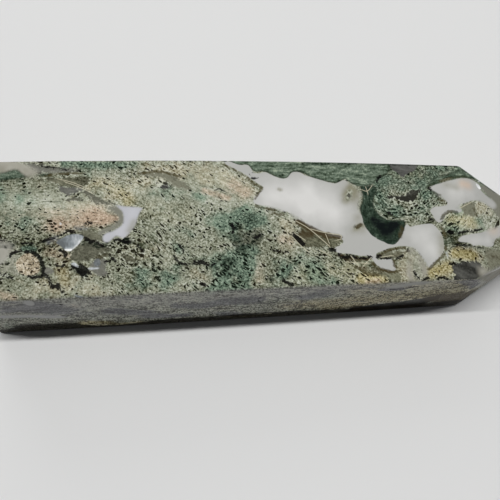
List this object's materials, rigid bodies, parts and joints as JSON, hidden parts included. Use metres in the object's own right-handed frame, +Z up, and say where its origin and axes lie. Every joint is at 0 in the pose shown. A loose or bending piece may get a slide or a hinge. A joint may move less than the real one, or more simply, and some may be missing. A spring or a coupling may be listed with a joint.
{
  "type": "dendritic agate obelisk",
  "caption": "Polished moss agate obelisk lying on its side: a tapered square stone with rounded edges, a flat cut base and a low pyramid point.",
  "frame": {"origin": "under the middle of the stone's length, on the long face that it lies on", "axes": "+X along the length towards the point, +Z up out of the long face that shows in the picture"},
  "size_m": [0.1134, 0.0276, 0.0256],
  "materials": {
    "agate": "polished"
  },
  "bodies": {
    "root": {"obelisk": "agate"}
  },
  "joints": []
}
